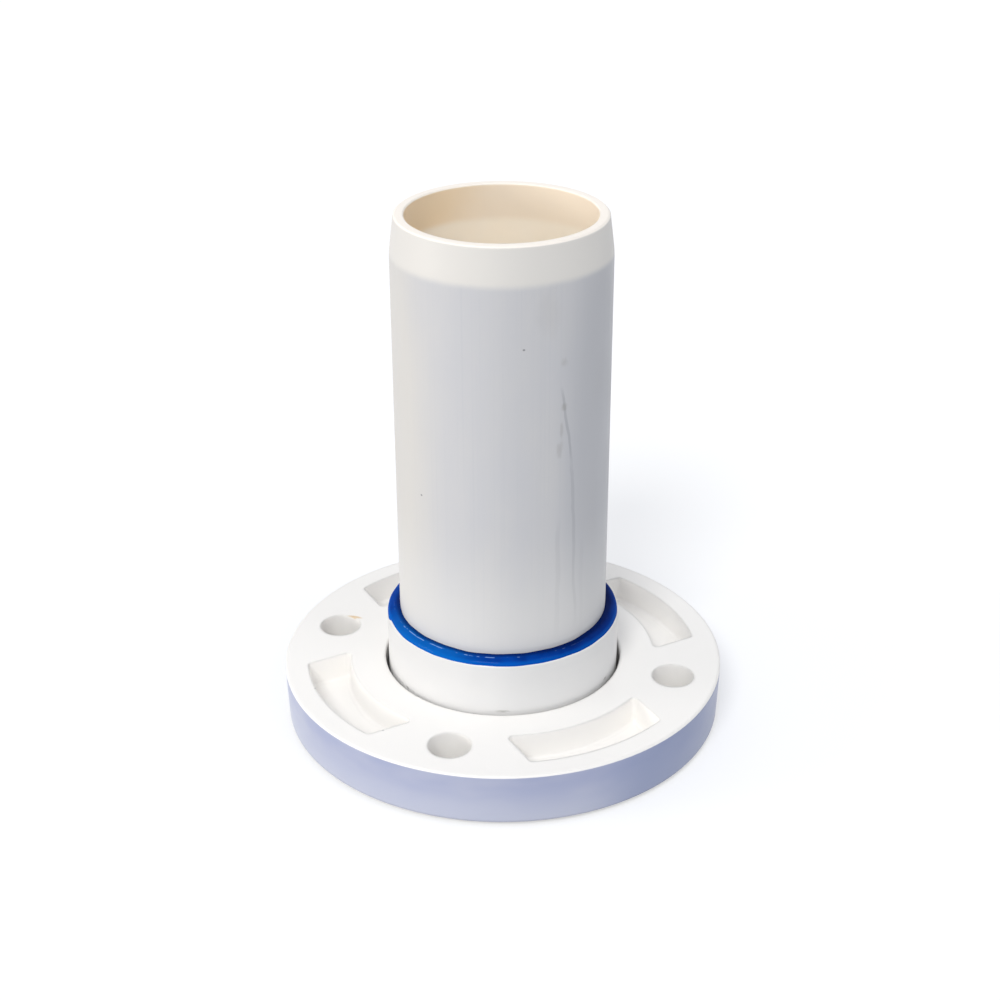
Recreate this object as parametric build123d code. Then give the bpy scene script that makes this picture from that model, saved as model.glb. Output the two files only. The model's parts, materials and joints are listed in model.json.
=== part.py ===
from build123d import *
import math
import os

# A plastic pipe spigot with a loose bolting ring, in millimetres.
# A short pipe, drawn in at its free end, is cemented into the socket of a stub flange.
# A loose moulded ring sits behind the stub's collar and carries the bolts.
# +Z runs up the pipe. The origin is the centre of the sealing face that the part stands on.

# Pipe
pipe_outer_diameter = 88.9
pipe_wall = 4.3
pipe_length = 218.6
pipe_foot_bevel = 1.0
pipe_sanding_depth = 0.1
pipe_sanding_runout = 2.0

# Drawn-in lead at the pipe's free end
taper_length = 15.2
rim_outer_diameter = 85.1
taper_blend_radius = 30.0
rim_outer_bevel = 0.7
rim_inner_bevel = 0.5

# Stub flange
stub_height = 47.6
hub_wall = 5.5
hub_top_bevel = 0.6
hub_root_bevel = 1.2
collar_diameter = 127.0
collar_thickness = 10.0
collar_bevel = 0.8
socket_stop_height = 6.0
socket_clearance = 0.05
socket_mouth_bevel = 1.5

# Concentric grooves in the sealing face that bite into the gasket
groove_count = 2
groove_spacing = 6.0
groove_width = 1.6
groove_depth = 0.8
groove_inset = 5.0

# Backing ring
ring_diameter = 190.5
ring_thickness = 22.8
ring_rim_draft = 2.0
ring_bore_clearance = 1.45
ring_recess_clearance = 0.75
ring_recess_depth = 8.0
ring_seat_gap = 0.1
ring_rim_bevel = 0.7
ring_bore_bevel = 0.5

# Bolt holes
bolt_circle_diameter = 152.4
bolt_hole_diameter = 18.0
bolt_hole_count = 4

# Cored pockets in the ring's back face, one between each two bolt holes
pocket_inner_radius = 66.5
pocket_outer_radius = 85.3
pocket_length = 61.6
pocket_depth = 11.5
pocket_draft = 4.0
pocket_corner_radius = 1.9
pocket_floor_bevel = 1.0

# Cured cement bead between the hub's end and the pipe
bead_height = 2.6
bead_crown_width = 3.0
bead_crown_height = 1.7

# Sizes that follow from the ones above
pipe_radius = pipe_outer_diameter / 2
waterway_radius = pipe_radius - pipe_wall
rim_outer_radius = rim_outer_diameter / 2
rim_height = socket_stop_height + pipe_length
taper_start_height = rim_height - taper_length
taper_lean_angle = math.atan2(pipe_radius - rim_outer_radius, taper_length)
socket_radius = pipe_radius + socket_clearance
hub_radius = socket_radius + hub_wall
collar_radius = collar_diameter / 2
ring_seat_height = collar_thickness + ring_seat_gap
ring_bottom_height = ring_seat_height - ring_recess_depth
ring_top_height = ring_bottom_height + ring_thickness
ring_radius = ring_diameter / 2
ring_bottom_radius = ring_radius - ring_thickness * math.tan(math.radians(ring_rim_draft))
ring_bore_radius = hub_radius + ring_bore_clearance
ring_recess_radius = collar_radius + ring_recess_clearance
ring_bore_relief = hub_root_bevel
bolt_circle_radius = bolt_circle_diameter / 2
sanded_radius = pipe_radius - pipe_sanding_depth
bead_top_height = stub_height + bead_height
bead_outer_radius = hub_radius - hub_top_bevel
bead_crown_radius = pipe_radius + bead_crown_width


def half_section(*corners):
    """Face in the radius-height plane with the corners (radius, height, bevel)."""
    section = make_face(Polyline(*[(radius, height) for radius, height, bevel in corners], close=True))
    for radius, height, bevel in corners:
        if bevel > 0:
            corner = section.vertices().sort_by_distance((radius, height, 0))[0]
            section = chamfer(corner, bevel)
    return section


def turned(section):
    """Solid of revolution about Z from a half section."""
    return revolve(Plane.XZ * section, Axis.Z)


def make_spigot_pipe():
    """Pipe of one wall thickness, sanded where cement grips it and bent inwards at its square-cut top."""
    inner_bend_height = taper_start_height - pipe_wall * math.tan(taper_lean_angle / 2)
    rim_inner_radius = rim_outer_radius - pipe_wall / math.cos(taper_lean_angle)
    section = half_section(
        (waterway_radius, socket_stop_height, 0),
        (sanded_radius, socket_stop_height, pipe_foot_bevel),
        (sanded_radius, bead_top_height, 0),
        (pipe_radius, bead_top_height + pipe_sanding_runout, 0),
        (pipe_radius, taper_start_height, 0),
        (rim_outer_radius, rim_height, rim_outer_bevel),
        (rim_inner_radius, rim_height, rim_inner_bevel),
        (waterway_radius, inner_bend_height, 0),
    )
    outer_bend = section.vertices().sort_by_distance((pipe_radius, taper_start_height, 0))[0]
    section = fillet(outer_bend, taper_blend_radius)
    inner_bend = section.vertices().sort_by_distance((waterway_radius, inner_bend_height, 0))[0]
    section = fillet(inner_bend, taper_blend_radius - pipe_wall)
    return turned(section)


def make_stub_flange():
    """Hub with the pipe's socket, the collar that the ring pulls on, and a grooved face."""
    stub = turned(
        half_section(
            (waterway_radius, 0, 0),
            (collar_radius, 0, collar_bevel),
            (collar_radius, collar_thickness, collar_bevel),
            (hub_radius, collar_thickness, hub_root_bevel),
            (hub_radius, stub_height, hub_top_bevel),
            (socket_radius, stub_height, socket_mouth_bevel),
            (socket_radius, socket_stop_height, 0),
            (waterway_radius, socket_stop_height, 0),
        )
    )
    outer_groove_radius = collar_radius - groove_inset
    for number in range(groove_count):
        middle = outer_groove_radius - number * groove_spacing
        stub -= turned(
            half_section(
                (middle - groove_width / 2, -groove_depth, 0),
                (middle + groove_width / 2, -groove_depth, 0),
                (middle + groove_width / 2, 0, 0),
                (middle, groove_depth, 0),
                (middle - groove_width / 2, 0, 0),
            )
        )
    return stub


def make_pocket():
    """The core that leaves one pocket: arc sides, straight ends, drafted walls and a bevelled floor."""
    slot = Circle(pocket_outer_radius) - Circle(pocket_inner_radius)
    slot &= Pos(pocket_outer_radius, 0) * Rectangle(2 * pocket_outer_radius, pocket_length)
    slot = fillet(slot.vertices(), pocket_corner_radius)
    core = extrude(Pos(0, 0, ring_top_height) * slot, -pocket_depth, taper=pocket_draft)
    floor = core.faces().sort_by(Axis.Z)[0]
    return chamfer(floor.edges(), pocket_floor_bevel)


def make_backing_ring():
    """Ring with a drafted rim, a recess for the stub's collar, bolt holes and cored pockets."""
    ring = turned(
        half_section(
            (ring_bore_radius, ring_top_height, ring_bore_bevel),
            (ring_bore_radius, ring_seat_height, ring_bore_relief),
            (ring_recess_radius, ring_seat_height, 0),
            (ring_recess_radius, ring_bottom_height, 0),
            (ring_bottom_radius, ring_bottom_height, ring_rim_bevel),
            (ring_radius, ring_top_height, ring_rim_bevel),
        )
    )
    drill_height = ring_bottom_height + ring_thickness / 2
    drill = Cylinder(bolt_hole_diameter / 2, 2 * ring_thickness)
    ring -= Pos(0, 0, drill_height) * PolarLocations(bolt_circle_radius, bolt_hole_count) * drill
    pocket = make_pocket()
    first_pocket_angle = 180 / bolt_hole_count
    for number in range(bolt_hole_count):
        ring -= Rot(0, 0, first_pocket_angle + number * 360 / bolt_hole_count) * pocket
    return ring


def make_cement_bead():
    """Ring of cement on the hub's end, crowned outwards, its lower lip in the socket's mouth."""
    return turned(
        half_section(
            (sanded_radius, bead_top_height, 0),
            (bead_crown_radius, stub_height + bead_crown_height, 0),
            (bead_outer_radius, stub_height, 0),
            (socket_radius + socket_mouth_bevel, stub_height, 0),
            (sanded_radius, stub_height - socket_mouth_bevel - socket_clearance, 0),
        )
    )


def main():
    pieces = {
        "spigot_pipe": make_spigot_pipe(),
        "stub_flange": make_stub_flange(),
        "backing_ring": make_backing_ring(),
        "cement_bead": make_cement_bead(),
    }
    os.makedirs("parts", exist_ok=True)
    for name, piece in pieces.items():
        export_step(piece, f"parts/{name}.step")


main()
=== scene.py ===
import json
import math

import bpy
import numpy as np
from mathutils import Matrix, Vector


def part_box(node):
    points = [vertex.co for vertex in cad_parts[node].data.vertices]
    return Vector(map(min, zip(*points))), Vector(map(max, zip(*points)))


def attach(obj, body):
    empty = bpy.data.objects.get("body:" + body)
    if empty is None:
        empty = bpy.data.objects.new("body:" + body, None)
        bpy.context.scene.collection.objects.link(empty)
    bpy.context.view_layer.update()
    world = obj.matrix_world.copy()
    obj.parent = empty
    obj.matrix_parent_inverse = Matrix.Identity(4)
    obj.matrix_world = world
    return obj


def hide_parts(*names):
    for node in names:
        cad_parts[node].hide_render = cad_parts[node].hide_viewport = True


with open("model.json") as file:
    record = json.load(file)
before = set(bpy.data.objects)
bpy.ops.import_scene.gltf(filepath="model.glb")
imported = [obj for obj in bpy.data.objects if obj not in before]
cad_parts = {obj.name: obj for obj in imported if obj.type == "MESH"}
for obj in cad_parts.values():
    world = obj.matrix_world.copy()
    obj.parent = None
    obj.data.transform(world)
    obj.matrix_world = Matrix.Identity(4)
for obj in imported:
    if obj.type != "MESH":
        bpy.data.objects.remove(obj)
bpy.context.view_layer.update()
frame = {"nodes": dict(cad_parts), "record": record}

# A plastic pipe spigot with a loose bolting ring, dressed and lit, in metres.
# The pipe, the stub flange and the ring keep their own solids and get their finishes here.
# The bead of solvent cement is modelled again, with the unevenness of a bead laid by brush.

MM = 0.001

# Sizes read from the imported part
mounts = {mount["name"]: mount for mount in frame["record"]["mounts"]}
PIPE_RADIUS = mounts["spigot_end"]["dims"]["r_mm"] * MM
WATERWAY_RADIUS = mounts["waterway"]["dims"]["r_mm"] * MM
RIM_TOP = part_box("spigot_pipe")[1].z
RING_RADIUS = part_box("backing_ring")[1].x
RING_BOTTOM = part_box("backing_ring")[0].z
RING_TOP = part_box("backing_ring")[1].z
HUB_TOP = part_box("stub_flange")[1].z
BEAD_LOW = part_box("cement_bead")[0].z
BEAD_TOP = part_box("cement_bead")[1].z
BEAD_FOOT_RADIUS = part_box("cement_bead")[1].x

# Sizes of the solids that the frame doesn't give
TAPER_LENGTH = 15.2 * MM
HUB_TOP_BEVEL = 0.6 * MM
SOCKET_MOUTH_BEVEL = 1.5 * MM
SANDING_DEPTH = 0.1 * MM

# Sizes that follow from the ones above
TAPER_START = RIM_TOP - TAPER_LENGTH
HUB_RADIUS = BEAD_FOOT_RADIUS + HUB_TOP_BEVEL
SANDED_RADIUS = PIPE_RADIUS - SANDING_DEPTH

# Faces nearer to the axis than the limit have the bore's finish, and the change of finish is this wide
BORE_LIMIT = WATERWAY_RADIUS + 1.0 * MM
BORE_LIMIT_WIDTH = 0.2 * MM

# How far the ring's moulded edges and the pipe's sawn ones are softened, in their shading only
RING_EDGE_SOFTNESS = 1.8 * MM
RIM_EDGE_SOFTNESS = 0.9 * MM

# The bead: how far its foot reaches past the hub's bevelled end and below it, how far its underside
# sinks into that end, how full its section is, and how finely it is divided
BEAD_OVERHANG = 0.2 * MM
BEAD_FOOT_DROP = 0.5 * MM
BEAD_SINK = 0.05 * MM
BEAD_FULLNESS = 2.6
BEAD_TURN_COUNT = 1200
BEAD_ARC_COUNT = 44

# The step at the left in the photograph, where one brush stroke ends, and the ridge that the brush left
STEP_ANGLE = -149.5
STEP_WIDTH = 0.35 * MM
STEP_RISE = 0.1 * MM
STEP_LENGTH = 1.2 * MM
STEP_FADE = 12.0 * MM
RIDGE_DISTANCE = 2.5 * MM
RIDGE_HALF_WIDTH = 0.35 * MM
RIDGE_RISE = 0.16 * MM

# Waves round the bead: their spacings, how deep they are together and the seed of their phases
RISE_WAVES = (np.array([90, 47, 23, 13]) * MM, 0.35 * MM, 3)
WIDTH_WAVES = (np.array([70, 31, 17, 9]) * MM, 0.12 * MM, 5)
RIDGE_WAVES = (np.array([19, 8.3, 5.1, 3.7]) * MM, 2 * RIDGE_RISE, 11)

# Marks on round faces: angle in degrees about the axis, height above the sealing face, reach across, reach
# up and down, how ragged the edge is, colour, and how much of that colour shows.
# The pipe's tones are painted shade that darkens its right side and painted light that makes its left side
# warmer and paler.
PIPE_PAINTED_LIGHT_AND_SHADE = (
    (-10.0, 125.0 * MM, 32.0 * MM, 150.0 * MM, 0.2, "#ABADB3", 0.55),
    (-149.0, 135.0 * MM, 37.0 * MM, 150.0 * MM, 0.2, "#D5D1C9", 0.65),
)
PIPE_RUBBED_MARKS = (
    (-40.8, 157.9 * MM, 2.6 * MM, 3.0 * MM, 0.7, "#908C88", 0.40),
    (-43.0, 140.1 * MM, 3.0 * MM, 6.0 * MM, 0.7, "#908C88", 0.26),
    (-42.0, 148.3 * MM, 1.8 * MM, 6.0 * MM, 0.7, "#908C88", 0.28),
    (-40.9, 176.7 * MM, 3.0 * MM, 3.5 * MM, 0.7, "#908C88", 0.22),
    (-49.5, 198.0 * MM, 9.0 * MM, 20.0 * MM, 0.7, "#908C88", 0.08),
)
PIPE_SPECKS = (
    (-62.8, 184.2 * MM, 0.7 * MM, 0.6 * MM, 0.25, "#5F6064", 0.7),
    (-120.6, 116.4 * MM, 0.7 * MM, 0.6 * MM, 0.25, "#5F6064", 0.7),
)
HUB_DIRT = (
    (-127.8, 24.2 * MM, 2.2 * MM, 1.2 * MM, 0.8, "#8E8B86", 0.5),
    (-13.0, 25.6 * MM, 3.0 * MM, 1.2 * MM, 0.8, "#8E8B86", 0.5),
    (-74.0, 25.8 * MM, 6.0 * MM, 1.2 * MM, 0.8, "#8E8B86", 0.5),
)
# Painted shade that darkens the ring's side at the right
RING_SIDE_PAINTED_SHADE = ((-18.0, RING_BOTTOM, 62.0 * MM, 62.0 * MM, 0.1, "#7786B0", 0.6),)

# Thin lines that handling left up the pipe, a scratch first: angle, lowest and highest point, lean as the
# distance across for each metre up, width, and how much of their colour shows
PIPE_LINES = (
    (-38.9, 132.0 * MM, 168.0 * MM, 0.17, 0.8 * MM, 0.36),
    (-33.4, 52.0 * MM, 142.0 * MM, 0.042, 1.0 * MM, 0.24),
    (-43.4, 50.0 * MM, 112.0 * MM, 0.0, 1.4 * MM, 0.13),
    (-27.0, 52.0 * MM, 100.0 * MM, 0.02, 1.4 * MM, 0.08),
)

# The lines wander by this much to each side and fade out over this share of their length at each end.
# They stop where the pipe's face is this deep behind them, so that none shows on its far side.
LINE_WANDER = 0.5 * MM
LINE_FADE_SHARE = 0.2
LINE_DEPTH_START = PIPE_RADIUS * 0.3
LINE_DEPTH_LIMIT = PIPE_RADIUS * 0.5

# Marks on the ring's back face: X, Y, reach along X, Y and Z, how ragged the edge is, colour, and how much
# of that colour shows. The first is the rusty stain and the others are specks.
RING_FACE_MARKS = (
    (-72.8 * MM, 8.6 * MM, 5.5 * MM, 1.5 * MM, 1.5 * MM, 0.5, "#D8AC5C", 0.65),
    (-67.6 * MM, -51.8 * MM, 1.3 * MM, 1.3 * MM, 3.0 * MM, 0.6, "#B4B4B6", 0.6),
    (-29.5 * MM, -73.6 * MM, 1.1 * MM, 1.1 * MM, 3.0 * MM, 0.6, "#B4B4B6", 0.6),
)

# The pipe gets paler towards the bead: the height where that starts
# and the one where it is full
PALE_BAND_START = BEAD_TOP + 60 * MM
PALE_BAND_FULL = BEAD_TOP + 2 * MM

# The heated end's change of colour, which in the bore is painted shade: the heights where it starts and
# where it is full, how much its edge wavers, and the angle, depth under the rim and reach of a painted
# shadow inside it
HEATED_START = TAPER_START - 1.3 * MM
HEATED_FULL = TAPER_START + 2.1 * MM
HEATED_WAVER = 1.2 * MM
BORE_SHADE_ANGLE = 172.0
BORE_SHADE_DEPTH = 5 * MM
BORE_SHADE_REACH = (46 * MM, 46 * MM, 24 * MM)

# The sawn end's chalky finish: the heights where it starts and where it is full
SAWN_START = RIM_TOP - 0.75 * MM
SAWN_FULL = RIM_TOP - 0.3 * MM

# The lathe's rings on the sealing face: their spacing, and the heights where they start and are full
LATHE_RING_SPACING = 0.8 * MM
LATHE_RING_START = 1.0 * MM
LATHE_RING_FULL = 0.5 * MM

# The ring side's cooler tint, partly painted shade: the radii and the heights where it starts and where it
# is full, and the height from which painted light makes it paler downwards
SIDE_START_RADIUS = RING_RADIUS - 1.4 * MM
SIDE_FULL_RADIUS = RING_RADIUS - 1.1 * MM
SIDE_START = RING_TOP - 0.6 * MM
SIDE_FULL = RING_TOP - 0.85 * MM
SIDE_PAINTED_LIGHT_START = RING_TOP - 2 * MM

# Tones of the cement round the bead, by angle and reach: where painted light brightens it, where a painted
# highlight lies in dashes, and where painted shade darkens it
BEAD_LIGHT_ANGLE = -119.0
BEAD_LIGHT_REACH = 34 * MM
HIGHLIGHT_ANGLE = -92.0
HIGHLIGHT_REACH = 58 * MM
BEAD_SHADE_ANGLE = 5.0
BEAD_SHADE_REACH = 66 * MM

# Tones of the cement across the bead, by radius: where its thin outer edge starts and is full, where the
# painted shade in the corner starts and is full, and from where the painted shade at the right gets less
THIN_START_RADIUS = BEAD_FOOT_RADIUS - 1.0 * MM
THIN_FULL_RADIUS = BEAD_FOOT_RADIUS + BEAD_OVERHANG
CORNER_START_RADIUS = PIPE_RADIUS + 2.6 * MM
CORNER_FULL_RADIUS = PIPE_RADIUS + 0.7 * MM
BEAD_SHADE_FULL_RADIUS = PIPE_RADIUS + 1.2 * MM

# The painted highlight's dashes are whole up to the first distance from the ridge's line and end at the
# second
HIGHLIGHT_HALF_WIDTH = 0.1 * MM
HIGHLIGHT_LIMIT = 0.3 * MM

# How large the features of each pattern are along X, Y and Z
PIPE_MOTTLE = (14 * MM, 14 * MM, 30 * MM)
PIPE_DIE_LINES = (1.1 * MM, 1.1 * MM, 160 * MM)
PIPE_GRAIN = (0.35 * MM, 0.35 * MM, 0.35 * MM)
PIPE_LINE_BENDS = (9 * MM, 9 * MM, 14 * MM)
HEATED_EDGE_BENDS = (12 * MM, 12 * MM, 12 * MM)
STUB_FLOW = (22 * MM, 22 * MM, 7 * MM)
STUB_PEEL = (6 * MM, 6 * MM, 6 * MM)
RING_FLOW = (26 * MM, 26 * MM, 26 * MM)
RING_PEEL = (7 * MM, 7 * MM, 7 * MM)
RING_SIDE_CLOUDS = (30 * MM, 30 * MM, 12 * MM)
CEMENT_POOLS = (9 * MM, 9 * MM, 5 * MM)
CEMENT_RIPPLES = (3.5 * MM, 3.5 * MM, 2 * MM)
CEMENT_HIGHLIGHT_DASHES = (3.5 * MM, 3.5 * MM, 3.5 * MM)

# How deep the fine relief of each finish is
DIE_LINE_DEPTH = 0.05 * MM
PIPE_GRAIN_DEPTH = 0.04 * MM
LATHE_RING_DEPTH = 0.03 * MM
PEEL_DEPTH = 0.1 * MM
RIPPLE_DEPTH = 0.12 * MM

# The patterns' noise goes from 0 to 1 but is mostly between these
NOISE_LOW = 0.3
NOISE_HIGH = 0.7

# Roughness of extruded and of moulded PVC where smoothest and where dullest, and refractive indices
EXTRUDED_ROUGHNESS = (0.40, 0.50)
MOULDED_ROUGHNESS = (0.30, 0.36)
PVC_IOR = 1.53
CEMENT_IOR = 1.45

# Camera, found by fitting the ring, the holes and the rim to the photograph
CAMERA_PLACE = (0.1882, -0.6389, 0.4346)
CAMERA_HEADING = 16.500
CAMERA_PITCH_DOWN = 26.755
CAMERA_ROLL = -0.203
FOCAL_LENGTH_PIXELS = 1768.7
PHOTO_WIDTH_PIXELS = 1000
SENSOR_WIDTH_MM = 36.0

# Light, found by fitting strengths to the photograph's tones: a turn to the camera's left and an elevation
# in degrees, a strength, an apparent width in degrees and a colour for each, over an even fill
KEY_LIGHT = (20.0, 45.0, 1.42, 20.0, "#FFFEFB")
LEFT_LIGHT = (80.0, 8.0, 1.16, 25.0, "#FFF9F1")
RIGHT_LIGHT = (-50.0, 50.0, 0.23, 25.0, "#FFFFFF")
FILL_STRENGTH = 0.63
BACKDROP_STRENGTH = 1.0

# The floor, and the light that is added to it for the camera and in reflections, so that it looks white
FLOOR_HALF_WIDTH = 6.0
FLOOR_LIFT = 0.45


def linear(hex_colour):
    """Linear RGBA of an sRGB hex colour: c / 12.92 when dark, else (c + 0.055) / 1.055 to the power 2.4."""
    channels = [int(hex_colour[i : i + 2], 16) / 255 for i in (1, 3, 5)]
    return [c / 12.92 if c <= 0.04045 else ((c + 0.055) / 1.055) ** 2.4 for c in channels] + [1.0]


def add_node(tree, kind, inputs, **settings):
    """Adds one node, sets its properties, and gives each input a value or a link.

    A link comes from an output, or from the first output of a node.
    """
    node = tree.nodes.new(kind)
    for name, value in settings.items():
        setattr(node, name, value)
    for name, value in inputs.items():
        if isinstance(value, bpy.types.Node):
            value = value.outputs[0]
        if isinstance(value, bpy.types.NodeSocket):
            tree.links.new(value, node.inputs[name])
        else:
            node.inputs[name].default_value = value
    return node


def new_material(name):
    """Material with no nodes yet, and its node tree."""
    material = bpy.data.materials.new(name)
    material.use_nodes = True
    material.node_tree.nodes.clear()
    return material, material.node_tree


def distance_from_axis(tree, place):
    """Radius of a point about the pipe's axis: the length of its X and Y parts."""
    flat = add_node(tree, "ShaderNodeVectorMath", {0: place, 1: (1.0, 1.0, 0.0)}, operation="MULTIPLY")
    return add_node(tree, "ShaderNodeVectorMath", {0: flat}, operation="LENGTH").outputs["Value"]


def by_radius(tree, place, start, end, low=0.0, high=1.0):
    """Mask by distance from the pipe's axis: a smooth step from low at start to high at end."""
    radius = distance_from_axis(tree, place)
    return add_node(
        tree,
        "ShaderNodeMapRange",
        {"Value": radius, "From Min": start, "From Max": end, "To Min": low, "To Max": high},
        interpolation_type="SMOOTHSTEP",
    )


def by_height(tree, place, start, end):
    """Mask by height above the sealing face: a smooth step from 0 at start to 1 at end."""
    level = add_node(tree, "ShaderNodeSeparateXYZ", {"Vector": place}).outputs["Z"]
    return add_node(
        tree,
        "ShaderNodeMapRange",
        {"Value": level, "From Min": start, "From Max": end},
        interpolation_type="SMOOTHSTEP",
    )


def grain(tree, place, size, detail=2.0):
    """Noise from 0 to 1 whose features have the given X, Y and Z sizes in metres."""
    scaled = add_node(tree, "ShaderNodeMapping", {"Vector": place, "Scale": [1 / part for part in size]})
    return add_node(tree, "ShaderNodeTexNoise", {"Vector": scaled, "Scale": 1.0, "Detail": detail})


def patches(tree, place, size, start, end, low=0.0, high=1.0, detail=2.0):
    """Patches of the given sizes: low where the noise is under start and high where it is over end."""
    noise = grain(tree, place, size, detail)
    return add_node(
        tree,
        "ShaderNodeMapRange",
        {"Value": noise, "From Min": start, "From Max": end, "To Min": low, "To Max": high},
        interpolation_type="SMOOTHSTEP",
    )


def spot(tree, place, centre, radii, ragged=0.25):
    """Mask of one mark: 1 within about half of its X, Y and Z radii and 0 past them, with a broken edge.

    It is a smooth step down where the distance from the centre, as a share of the radii and with a noise
    times ragged added, goes from 0.5 to 1.1. The noise's features are half as large as the radii.
    """
    away = add_node(tree, "ShaderNodeVectorMath", {0: place, 1: centre}, operation="SUBTRACT")
    scale = [1 / radius for radius in radii]
    scaled = add_node(tree, "ShaderNodeVectorMath", {0: away, 1: scale}, operation="MULTIPLY")
    share = add_node(tree, "ShaderNodeVectorMath", {0: scaled}, operation="LENGTH").outputs["Value"]
    edge_noise = grain(tree, place, [radius * 0.5 for radius in radii])
    broken = add_node(tree, "ShaderNodeMath", {0: edge_noise, 1: ragged, 2: share}, operation="MULTIPLY_ADD")
    return add_node(
        tree,
        "ShaderNodeMapRange",
        {"Value": broken, "From Min": 0.5, "From Max": 1.1, "To Min": 1.0, "To Max": 0.0},
        interpolation_type="SMOOTHSTEP",
    )


def on_round(angle, level, radius):
    """Point on a cylinder about the axis at an angle in degrees and a height."""
    turn = math.radians(angle)
    return (radius * math.cos(turn), radius * math.sin(turn), level)


def thin_line(tree, place, angle, low, high, lean, width):
    """Mask of a thin line up the pipe at an angle in degrees, between two heights where it fades out.

    It is 1 where the distance across is under half the width and 0 where it is over the width. The distance
    across is the place's part along the tangent, plus lean times the height from the middle, plus a noise
    that makes the line wander. The pipe's far side is left out by the place's depth behind the line.
    """
    turn = math.radians(angle)
    middle = on_round(angle, (low + high) / 2, PIPE_RADIUS)
    away = add_node(tree, "ShaderNodeVectorMath", {0: place, 1: middle}, operation="SUBTRACT")
    along = (-math.sin(turn), math.cos(turn), lean)
    across = add_node(tree, "ShaderNodeVectorMath", {0: away, 1: along}, operation="DOT_PRODUCT")
    wander = patches(
        tree, place, PIPE_LINE_BENDS, start=0.2, end=0.8, low=-LINE_WANDER, high=LINE_WANDER
    )
    moved = add_node(tree, "ShaderNodeMath", {0: across.outputs["Value"], 1: wander}, operation="ADD")
    distance = add_node(tree, "ShaderNodeMath", {0: moved}, operation="ABSOLUTE")
    line = add_node(
        tree,
        "ShaderNodeMapRange",
        {"Value": distance, "From Min": width / 2, "From Max": width, "To Min": 1.0, "To Max": 0.0},
        interpolation_type="SMOOTHSTEP",
    )
    inward = (-math.cos(turn), -math.sin(turn), 0.0)
    depth = add_node(tree, "ShaderNodeVectorMath", {0: away, 1: inward}, operation="DOT_PRODUCT")
    near_side = add_node(
        tree,
        "ShaderNodeMapRange",
        {
            "Value": depth.outputs["Value"],
            "From Min": LINE_DEPTH_START,
            "From Max": LINE_DEPTH_LIMIT,
            "To Min": 1.0,
            "To Max": 0.0,
        },
        interpolation_type="SMOOTHSTEP",
    )
    fade_length = (high - low) * LINE_FADE_SHARE
    lower_end = by_height(tree, place, low, low + fade_length)
    upper_end = by_height(tree, place, high, high - fade_length)
    mask = line
    for limit in (near_side, lower_end, upper_end):
        mask = add_node(tree, "ShaderNodeMath", {0: mask, 1: limit}, operation="MULTIPLY")
    return mask


def lay_over(tree, below, above, mask, share=1.0):
    """Lays a colour over the one below it: the mask times the share is how much of it shows."""
    cover = add_node(tree, "ShaderNodeMath", {0: mask, 1: share}, operation="MULTIPLY")
    return add_node(tree, "ShaderNodeMixRGB", {"Fac": cover, "Color1": below, "Color2": above})


def lay_marks(tree, place, below, marks, radius):
    """Lays marks over the colour of a round face of the given radius, in their order."""
    for angle, level, across, upright, ragged, colour, share in marks:
        mark = spot(tree, place, on_round(angle, level, radius), (across, across, upright), ragged)
        below = lay_over(tree, below, linear(colour), mark, share=share)
    return below


def finish_pvc(tree, colour, unevenness, roughness_range, normal):
    """Rigid PVC's shader, whose roughness goes from the range's first to its second with the unevenness."""
    smooth, dull = roughness_range
    roughness = add_node(
        tree,
        "ShaderNodeMapRange",
        {
            "Value": unevenness,
            "From Min": NOISE_LOW,
            "From Max": NOISE_HIGH,
            "To Min": smooth,
            "To Max": dull,
        },
        interpolation_type="SMOOTHSTEP",
    )
    shader = add_node(
        tree,
        "ShaderNodeBsdfPrincipled",
        {"Base Color": colour, "Roughness": roughness, "IOR": PVC_IOR, "Normal": normal},
    )
    add_node(tree, "ShaderNodeOutputMaterial", {"Surface": shader})


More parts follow.
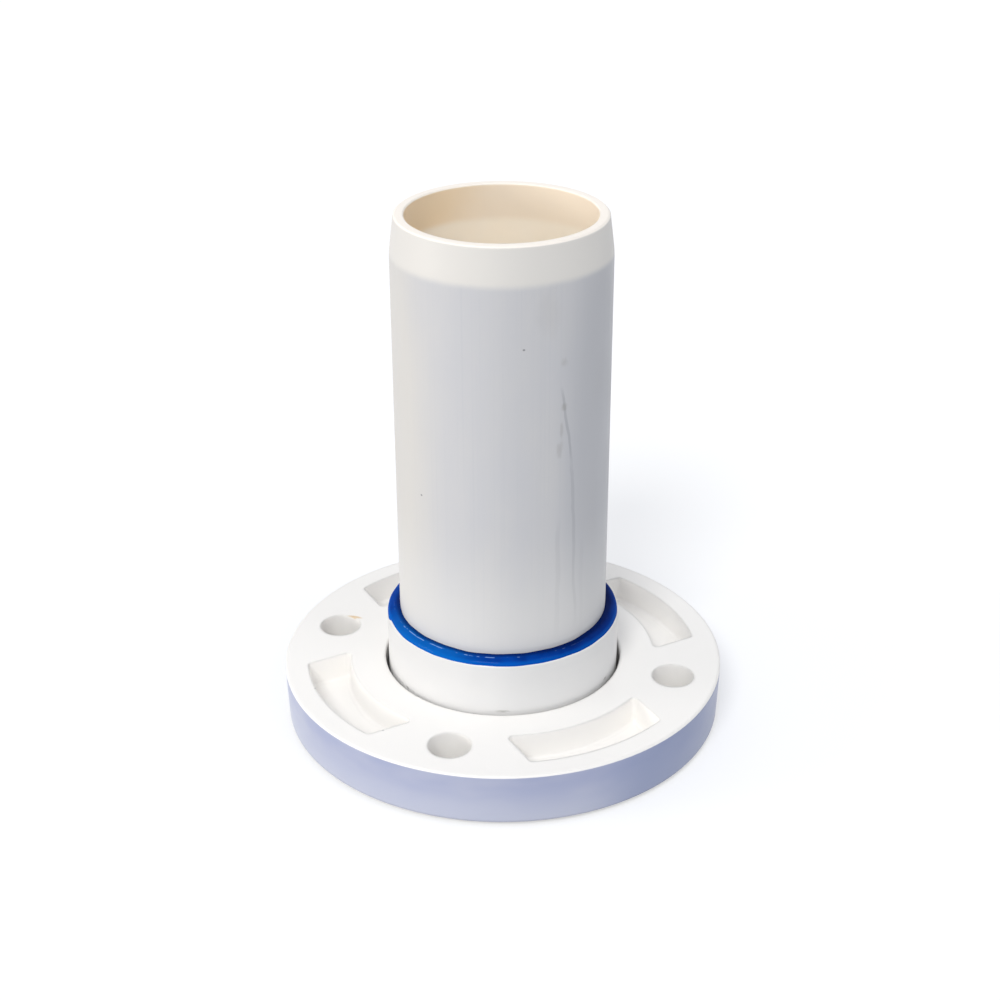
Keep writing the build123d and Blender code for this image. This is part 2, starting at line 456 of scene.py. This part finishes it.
def extruded_upvc():
    """Extruded uPVC pressure pipe.

    The die leaves faint lengthwise lines and a satin skin, slightly cool and mottled. The real lines and the
    skin's own grain are finer: they are drawn 1.1 mm and 0.35 mm across, so that they show.
    Handling has left a scratch and rubbed marks. Painted shade makes the right side darker, and painted
    light makes the left side warmer and paler.
    Heat has turned the drawn-in end warmer and paler. In the bore, painted shade makes that band darker and
    tan and browns a patch at its upper left. The bore is cream, and paler than its own colour in painted
    light that stands for light through the wall.
    The end is sawn square, which leaves it chalky white.
    """
    material, tree = new_material("extruded_upvc")
    place = add_node(tree, "ShaderNodeTexCoord", {}).outputs["Object"]
    mottle = grain(tree, place, PIPE_MOTTLE, detail=3.0)
    die_lines = grain(tree, place, PIPE_DIE_LINES)
    skin_grain = grain(tree, place, PIPE_GRAIN)

    skin = lay_over(tree, linear("#C1C2C7"), linear("#CAC9C9"), mottle)
    crests = add_node(
        tree,
        "ShaderNodeMapRange",
        {"Value": die_lines, "From Min": 0.5, "From Max": 0.95},
        interpolation_type="SMOOTHSTEP",
    )
    skin = lay_over(tree, skin, linear("#BBBDC2"), crests, share=0.5)
    # Painted shade on the right side and painted light on the left side
    skin = lay_marks(tree, place, skin, PIPE_PAINTED_LIGHT_AND_SHADE, PIPE_RADIUS)
    for angle, low, high, lean, width, share in PIPE_LINES:
        line = thin_line(tree, place, angle, low, high, lean, width)
        skin = lay_over(tree, skin, linear("#86888F"), line, share=share)
    skin = lay_marks(tree, place, skin, PIPE_RUBBED_MARKS + PIPE_SPECKS, PIPE_RADIUS)
    paler_low_down = by_height(tree, place, PALE_BAND_START, PALE_BAND_FULL)
    skin = lay_over(tree, skin, linear("#E0DFDC"), paler_low_down, share=0.55)

    level = add_node(tree, "ShaderNodeSeparateXYZ", {"Vector": place}).outputs["Z"]
    waver = grain(tree, place, HEATED_EDGE_BENDS)
    wavy_level = add_node(
        tree, "ShaderNodeMath", {0: waver, 1: HEATED_WAVER, 2: level}, operation="MULTIPLY_ADD"
    )
    heated_and_shaded = add_node(
        tree,
        "ShaderNodeMapRange",
        {"Value": wavy_level, "From Min": HEATED_START, "From Max": HEATED_FULL},
        interpolation_type="SMOOTHSTEP",
    )
    skin = lay_over(tree, skin, linear("#DAD7D2"), heated_and_shaded)

    # The bore's pale cream is partly its own colour and partly painted light that stands for light through
    # the wall
    bore = lay_over(tree, linear("#FEF6E8"), linear("#FDF2E0"), mottle)
    # Painted shade: the bore is darker and tan along the drawn-in end
    bore = lay_over(tree, bore, linear("#FBEDDA"), heated_and_shaded, share=0.85)
    # Painted shade: a darker, browner patch at the bore's upper left, under the rim
    bore_shade_place = on_round(BORE_SHADE_ANGLE, RIM_TOP - BORE_SHADE_DEPTH, WATERWAY_RADIUS)
    bore_shade = spot(tree, place, bore_shade_place, BORE_SHADE_REACH)
    bore_shade = add_node(tree, "ShaderNodeMath", {0: bore_shade, 1: heated_and_shaded}, operation="MULTIPLY")
    bore = lay_over(tree, bore, linear("#FCE2BA"), bore_shade, share=0.6)
    inside = by_radius(tree, place, BORE_LIMIT, BORE_LIMIT - BORE_LIMIT_WIDTH)
    colour = lay_over(tree, skin, bore, inside)
    sawn = by_height(tree, place, SAWN_START, SAWN_FULL)
    colour = lay_over(tree, colour, linear("#FAF3EA"), sawn)

    soft_edges = add_node(tree, "ShaderNodeBevel", {"Radius": RIM_EDGE_SOFTNESS}, samples=4)
    line_bump = add_node(
        tree,
        "ShaderNodeBump",
        {"Height": die_lines, "Strength": 0.25, "Distance": DIE_LINE_DEPTH, "Normal": soft_edges},
    )
    bump = add_node(
        tree,
        "ShaderNodeBump",
        {"Height": skin_grain, "Strength": 0.25, "Distance": PIPE_GRAIN_DEPTH, "Normal": line_bump},
    )
    finish_pvc(tree, colour, mottle, EXTRUDED_ROUGHNESS, bump)
    return material


def moulded_pvc_stub():
    """Injection moulded PVC of the stub flange.

    A polished mould leaves it whiter and glossier than the pipe, with faint bands from the flow round it
    and a slight orange peel in its gloss. Dirt has settled in the gap between it and the ring.
    The sealing face is skimmed on a lathe, so it has fine rings, which are drawn coarser than the real ones.
    """
    material, tree = new_material("moulded_pvc_stub")
    place = add_node(tree, "ShaderNodeTexCoord", {}).outputs["Object"]
    flow = grain(tree, place, STUB_FLOW, detail=3.0)
    peel = grain(tree, place, STUB_PEEL)
    colour = lay_over(tree, linear("#E1E0DF"), linear("#DDDDDD"), flow)
    inside = by_radius(tree, place, BORE_LIMIT, BORE_LIMIT - BORE_LIMIT_WIDTH)
    colour = lay_over(tree, colour, linear("#EFE7DA"), inside)
    colour = lay_marks(tree, place, colour, HUB_DIRT, HUB_RADIUS)

    radius = distance_from_axis(tree, place)
    radians_for_each_metre = 2 * math.pi / LATHE_RING_SPACING
    phase = add_node(tree, "ShaderNodeMath", {0: radius, 1: radians_for_each_metre}, operation="MULTIPLY")
    rings = add_node(tree, "ShaderNodeMath", {0: phase}, operation="SINE")
    skimmed = by_height(tree, place, LATHE_RING_START, LATHE_RING_FULL)
    rings = add_node(tree, "ShaderNodeMath", {0: rings, 1: skimmed}, operation="MULTIPLY")
    ring_bump = add_node(
        tree, "ShaderNodeBump", {"Height": rings, "Strength": 0.5, "Distance": LATHE_RING_DEPTH}
    )
    bump = add_node(
        tree,
        "ShaderNodeBump",
        {"Height": peel, "Strength": 0.2, "Distance": PEEL_DEPTH, "Normal": ring_bump},
    )
    finish_pvc(tree, colour, flow, MOULDED_ROUGHNESS, bump)
    return material


def moulded_pvc_ring():
    """Injection moulded PVC of the backing ring.

    The back face is bright white and glossy, with faint clouds from the flow in the mould and a slight
    orange peel in its gloss.
    The drafted side is a clouded lavender grey, partly its own cooler tint and partly painted shade and
    painted bluish reflected light; painted light makes it paler low down, and painted shade makes it darker
    under its top edge and at the right.
    Handling has left a rusty stain at one bolt hole and a few specks.
    """
    material, tree = new_material("moulded_pvc_ring")
    place = add_node(tree, "ShaderNodeTexCoord", {}).outputs["Object"]
    flow = grain(tree, place, RING_FLOW, detail=4.0)
    peel = grain(tree, place, RING_PEEL)
    colour = lay_over(tree, linear("#F8F6F3"), linear("#F6F4F1"), flow)

    clouds = patches(tree, place, RING_SIDE_CLOUDS, start=NOISE_LOW, end=NOISE_HIGH)
    # The side's lavender grey is partly its own cooler tint and partly painted shade and painted bluish
    # reflected light
    side_tint_and_painted_shading = lay_over(tree, linear("#A3AAC8"), linear("#B0B5CC"), clouds)
    # Painted light and shade: paler low down, darker under the top edge
    painted_light_low_down = by_height(tree, place, SIDE_PAINTED_LIGHT_START, RING_BOTTOM)
    side_tint_and_painted_shading = lay_over(tree, side_tint_and_painted_shading, linear("#BFC3D4"), painted_light_low_down, share=0.85)
    # Painted shade: darker at the right
    side_tint_and_painted_shading = lay_marks(tree, place, side_tint_and_painted_shading, RING_SIDE_PAINTED_SHADE, RING_RADIUS)
    far_out = by_radius(tree, place, SIDE_START_RADIUS, SIDE_FULL_RADIUS)
    below_face = by_height(tree, place, SIDE_START, SIDE_FULL)
    on_side = add_node(tree, "ShaderNodeMath", {0: far_out, 1: below_face}, operation="MULTIPLY")
    colour = lay_over(tree, colour, side_tint_and_painted_shading, on_side)
    for x, y, reach_x, reach_y, reach_z, ragged, mark_colour, share in RING_FACE_MARKS:
        mark = spot(tree, place, (x, y, RING_TOP), (reach_x, reach_y, reach_z), ragged)
        colour = lay_over(tree, colour, linear(mark_colour), mark, share=share)

    soft_edges = add_node(tree, "ShaderNodeBevel", {"Radius": RING_EDGE_SOFTNESS}, samples=4)
    bump = add_node(
        tree,
        "ShaderNodeBump",
        {"Height": peel, "Strength": 0.2, "Distance": PEEL_DEPTH, "Normal": soft_edges},
    )
    finish_pvc(tree, colour, flow, MOULDED_ROUGHNESS, bump)
    return material


def cured_solvent_cement():
    """Cured blue solvent cement.

    It dries to a thin glossy skin over a deep blue. It is brighter at its thin outer edge, and painted light
    makes it brighter at the front left.
    Painted shade makes it darker in the corner against the pipe and at the right.
    The brush has left a ridge, and a painted highlight lies along its crest in pale dashes.
    """
    material, tree = new_material("cured_solvent_cement")
    place = add_node(tree, "ShaderNodeTexCoord", {}).outputs["Object"]
    pools = patches(tree, place, CEMENT_POOLS, start=0.35, end=0.65)
    ripples = grain(tree, place, CEMENT_RIPPLES)
    colour = lay_over(tree, linear("#003E9A"), linear("#003288"), pools)
    thin = by_radius(tree, place, THIN_START_RADIUS, THIN_FULL_RADIUS)
    colour = lay_over(tree, colour, linear("#0056B8"), thin, share=0.85)
    # Painted light: brighter at the front left
    bead_light_place = on_round(BEAD_LIGHT_ANGLE, HUB_TOP, PIPE_RADIUS)
    painted_light_patch = spot(tree, place, bead_light_place, [BEAD_LIGHT_REACH] * 3)
    colour = lay_over(tree, colour, linear("#0A69BC"), painted_light_patch, share=0.55)

    # Painted highlight: pale dashes along the ridge's crest
    radius = distance_from_axis(tree, place)
    from_ridge = add_node(
        tree, "ShaderNodeMath", {0: radius, 1: PIPE_RADIUS + RIDGE_DISTANCE}, operation="SUBTRACT"
    )
    from_ridge = add_node(tree, "ShaderNodeMath", {0: from_ridge}, operation="ABSOLUTE")
    painted_highlight = add_node(
        tree,
        "ShaderNodeMapRange",
        {
            "Value": from_ridge,
            "From Min": HIGHLIGHT_HALF_WIDTH,
            "From Max": HIGHLIGHT_LIMIT,
            "To Min": 1.0,
            "To Max": 0.0,
        },
        interpolation_type="SMOOTHSTEP",
    )
    highlight_dashes = patches(tree, place, CEMENT_HIGHLIGHT_DASHES, start=0.5, end=0.58, detail=3.0)
    highlight_reach_mask = spot(tree, place, on_round(HIGHLIGHT_ANGLE, HUB_TOP, PIPE_RADIUS), [HIGHLIGHT_REACH] * 3)
    for limit in (highlight_dashes, highlight_reach_mask):
        painted_highlight = add_node(tree, "ShaderNodeMath", {0: painted_highlight, 1: limit}, operation="MULTIPLY")
    colour = lay_over(tree, colour, linear("#8FB4E6"), painted_highlight, share=0.6)

    # Painted shade: darker at the right
    painted_shade_right = spot(tree, place, on_round(BEAD_SHADE_ANGLE, HUB_TOP, PIPE_RADIUS), [BEAD_SHADE_REACH] * 3)
    inner_part = by_radius(tree, place, BEAD_SHADE_FULL_RADIUS, BEAD_FOOT_RADIUS, low=0.9, high=0.25)
    painted_shade_right = add_node(tree, "ShaderNodeMath", {0: painted_shade_right, 1: inner_part}, operation="MULTIPLY")
    colour = lay_over(tree, colour, linear("#001046"), painted_shade_right)
    # Painted shade: darker in the corner against the pipe
    corner = by_radius(tree, place, CORNER_START_RADIUS, CORNER_FULL_RADIUS)
    colour = lay_over(tree, colour, linear("#001850"), corner, share=0.7)

    bump = add_node(tree, "ShaderNodeBump", {"Height": ripples, "Strength": 0.3, "Distance": RIPPLE_DEPTH})
    shader = add_node(
        tree,
        "ShaderNodeBsdfPrincipled",
        {
            "Base Color": colour,
            "Roughness": 0.5,
            "IOR": CEMENT_IOR,
            "Specular IOR Level": 0.0,
            "Coat Weight": 0.08,
            "Coat Roughness": 0.08,
            "Coat IOR": CEMENT_IOR,
            "Normal": bump,
        },
    )
    add_node(tree, "ShaderNodeOutputMaterial", {"Surface": shader})
    return material


def waviness(turns, spacings, depth, seed):
    """Sum of cosines round the circle, one for each spacing in metres at the bead, with random phases.

    Each cosine's height is its share of the depth, in proportion to the root of its spacing.
    """
    random = np.random.default_rng(seed)
    counts = np.round(2 * np.pi * BEAD_FOOT_RADIUS / spacings)
    shares = np.sqrt(spacings) / np.sqrt(spacings).sum()
    phases = random.uniform(0, 2 * np.pi, len(counts))
    return depth * np.cos(np.outer(turns, counts) + phases) @ shares


def cement_bead_points():
    """Grid of points of the bead: one closed section at each angle round the pipe.

    The open side of a section is a quarter of a full ellipse of power n, from the pipe's wall down to the
    hub's bevel: radius = wall + width times sin(t) ** (2 / n), height = foot + rise times cos(t) ** (2 / n),
    for t from 0 to 90 degrees. The rise and the width wander with the angle, and both have one step,
    -tanh(distance / step length) times exp(-(distance / fade) squared), where a brush stroke ends.
    The brush has left a thin broken ridge: rise times exp(-(distance from its line / half width) squared).
    The hidden side runs back along the hub's end and down into the socket's mouth.
    """
    turns = np.linspace(0, 2 * np.pi, BEAD_TURN_COUNT, endpoint=False)
    foot = HUB_TOP - BEAD_FOOT_DROP
    rise = BEAD_TOP - foot + waviness(turns, *RISE_WAVES)
    width = BEAD_FOOT_RADIUS + BEAD_OVERHANG - PIPE_RADIUS + waviness(turns, *WIDTH_WAVES)
    from_step = np.angle(np.exp(1j * (turns - math.radians(STEP_ANGLE)))) * BEAD_FOOT_RADIUS
    step = -np.tanh(from_step / STEP_LENGTH) * np.exp(-((from_step / STEP_FADE) ** 2))
    rise = rise + step * STEP_RISE
    width = width + step * STEP_WIDTH
    arc = np.linspace(0, np.pi / 2, BEAD_ARC_COUNT)
    open_radius = PIPE_RADIUS + width[:, None] * np.sin(arc) ** (2 / BEAD_FULLNESS)
    open_height = foot + rise[:, None] * np.cos(arc) ** (2 / BEAD_FULLNESS)
    ridge_height = np.maximum(waviness(turns, *RIDGE_WAVES), 0)
    ridge_share = np.exp(-(((open_radius - PIPE_RADIUS - RIDGE_DISTANCE) / RIDGE_HALF_WIDTH) ** 2))
    open_height = open_height + ridge_height[:, None] * ridge_share
    open_radius[:, 0] = SANDED_RADIUS
    hidden = np.array(
        [
            (BEAD_FOOT_RADIUS - HUB_TOP_BEVEL, foot),
            (PIPE_RADIUS + SOCKET_MOUTH_BEVEL, HUB_TOP - BEAD_SINK),
            (SANDED_RADIUS, BEAD_LOW),
            (SANDED_RADIUS, HUB_TOP),
        ]
    )
    ones = np.ones((BEAD_TURN_COUNT, 1))
    radii = np.hstack([open_radius, ones * hidden[:, 0]])
    heights = np.hstack([open_height, ones * hidden[:, 1]])
    x = radii * np.cos(turns)[:, None]
    y = radii * np.sin(turns)[:, None]
    return np.stack([x, y, heights], axis=-1)


def closed_mesh(name, grid):
    """Mesh of a grid of points that closes on itself both ways, one face for each cell."""
    rows, columns = grid.shape[:2]
    row, column = np.meshgrid(np.arange(rows), np.arange(columns), indexing="ij")
    next_row = (row + 1) % rows
    next_column = (column + 1) % columns
    corners = [
        row * columns + column,
        row * columns + next_column,
        next_row * columns + next_column,
        next_row * columns + column,
    ]
    faces = np.stack(corners, axis=-1).reshape(-1, 4)
    mesh = bpy.data.meshes.new(name)
    mesh.from_pydata(grid.reshape(-1, 3), [], faces[:, ::-1], shade_flat=False)
    mesh.update()
    return mesh


def add_object(name, mesh, material):
    """Links a mesh into the scene as an object at the origin with one material."""
    piece = bpy.data.objects.new(name, mesh)
    mesh.materials.append(material)
    bpy.context.scene.collection.objects.link(piece)
    return piece


def dress_node(name, material):
    """Gives a CAD node its finish."""
    for slot in frame["nodes"][name].material_slots:
        slot.material = material


def background_share(tree):
    """1 for what the camera sees directly, in a reflection or through something clear, else 0."""
    path = add_node(tree, "ShaderNodeLightPath", {})
    seen = path.outputs["Is Camera Ray"]
    for ray in ("Is Glossy Ray", "Is Transmission Ray"):
        seen = add_node(tree, "ShaderNodeMath", {0: seen, 1: path.outputs[ray]}, operation="MAXIMUM")
    return seen


def make_floor():
    """Large pale floor that the part stands on, lifted to white for the camera, with its shadow kept."""
    material, tree = new_material("studio_floor")
    matt = add_node(tree, "ShaderNodeBsdfDiffuse", {"Color": linear("#C9CACC")})
    share = background_share(tree)
    strength = add_node(tree, "ShaderNodeMath", {0: share, 1: FLOOR_LIFT}, operation="MULTIPLY")
    lift = add_node(tree, "ShaderNodeEmission", {"Color": linear("#FFFFFF"), "Strength": strength})
    shader = add_node(tree, "ShaderNodeAddShader", {0: matt, 1: lift})
    add_node(tree, "ShaderNodeOutputMaterial", {"Surface": shader})
    half = FLOOR_HALF_WIDTH
    corners = [(-half, -half, 0), (half, -half, 0), (half, half, 0), (-half, half, 0)]
    mesh = bpy.data.meshes.new("floor")
    mesh.from_pydata(corners, [], [(0, 1, 2, 3)])
    add_object("floor", mesh, material)


def make_world():
    """Even, slightly cool fill light, and a white backdrop for the camera and in reflections."""
    world = bpy.data.worlds.new("studio")
    bpy.context.scene.world = world
    world.use_nodes = True
    tree = world.node_tree
    tree.nodes.clear()
    fill = add_node(tree, "ShaderNodeBackground", {"Color": linear("#F6F9FF"), "Strength": FILL_STRENGTH})
    backdrop = add_node(
        tree, "ShaderNodeBackground", {"Color": linear("#FFFFFF"), "Strength": BACKDROP_STRENGTH}
    )
    mixed = add_node(tree, "ShaderNodeMixShader", {0: background_share(tree), 1: fill, 2: backdrop})
    add_node(tree, "ShaderNodeOutputWorld", {"Surface": mixed})


def make_sun(name, turn, elevation, strength, angle, colour):
    """Even light over all, from a turn to the left of the camera and an elevation, both in degrees."""
    light = bpy.data.lights.new(name, "SUN")
    light.energy = strength
    light.angle = math.radians(angle)
    light.color = linear(colour)[:3]
    lamp = bpy.data.objects.new(name, light)
    around = math.radians(CAMERA_HEADING - 90 - turn)
    rise = math.radians(elevation)
    towards = Vector((math.cos(around) * math.cos(rise), math.sin(around) * math.cos(rise), math.sin(rise)))
    lamp.rotation_euler = towards.to_track_quat("Z", "Y").to_euler()
    bpy.context.scene.collection.objects.link(lamp)


def make_camera():
    """Camera at the photograph's place, turned by its heading, pitch and slight roll."""
    lens = bpy.data.cameras.new("camera")
    lens.sensor_width = SENSOR_WIDTH_MM
    lens.lens = FOCAL_LENGTH_PIXELS * SENSOR_WIDTH_MM / PHOTO_WIDTH_PIXELS
    lens.clip_start = 0.01
    lens.clip_end = 50
    camera = bpy.data.objects.new("camera", lens)
    heading = Matrix.Rotation(math.radians(CAMERA_HEADING), 4, "Z")
    pitch = Matrix.Rotation(math.radians(90 - CAMERA_PITCH_DOWN), 4, "X")
    roll = Matrix.Rotation(math.radians(CAMERA_ROLL), 4, "Z")
    camera.matrix_world = Matrix.Translation(CAMERA_PLACE) @ heading @ pitch @ roll
    bpy.context.scene.collection.objects.link(camera)
    bpy.context.scene.camera = camera


dress_node("spigot_pipe", extruded_upvc())
dress_node("stub_flange", moulded_pvc_stub())
dress_node("backing_ring", moulded_pvc_ring())

bead_mesh = closed_mesh("bead_of_cement", cement_bead_points())
bead = add_object("bead_of_cement", bead_mesh, cured_solvent_cement())
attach(bead, "spigot")
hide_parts("cement_bead")

make_floor()
make_world()
make_sun("key", *KEY_LIGHT)
make_sun("left", *LEFT_LIGHT)
make_sun("right", *RIGHT_LIGHT)
make_camera()
bpy.context.scene.view_settings.view_transform = "Standard"
